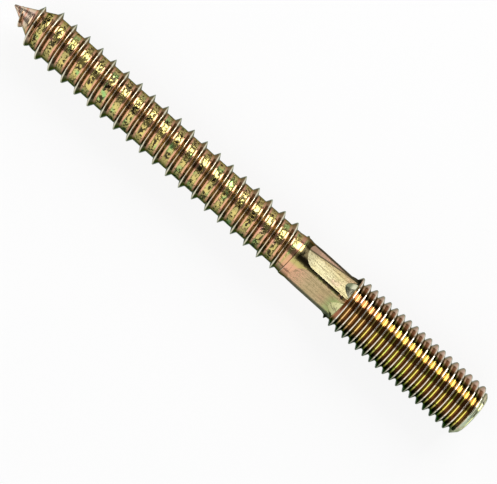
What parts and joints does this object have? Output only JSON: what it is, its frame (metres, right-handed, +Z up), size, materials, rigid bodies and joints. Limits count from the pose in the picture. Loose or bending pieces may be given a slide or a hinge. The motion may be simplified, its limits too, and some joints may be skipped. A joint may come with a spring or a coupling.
{
  "type": "hanger bolt",
  "caption": "Double-ended steel bolt: machine thread with a six-lobe recess in its end, short square driving section, and wood thread with a gimlet point.",
  "frame": {"origin": "centre of the machine end's face, in the mouth of the driving recess, on the bolt's axis", "axes": "+X out of the machine end along the axis, so the wood point is at -X; the bolt lies on its side with +Z up"},
  "size_m": [0.1013, 0.0098, 0.0098],
  "materials": {
    "yellow_zinc": "yellow-passivated zinc plating on steel, glossy, with faint pink and green interference colours"
  },
  "bodies": {
    "root": {"hanger_bolt": "yellow_zinc"}
  },
  "joints": []
}
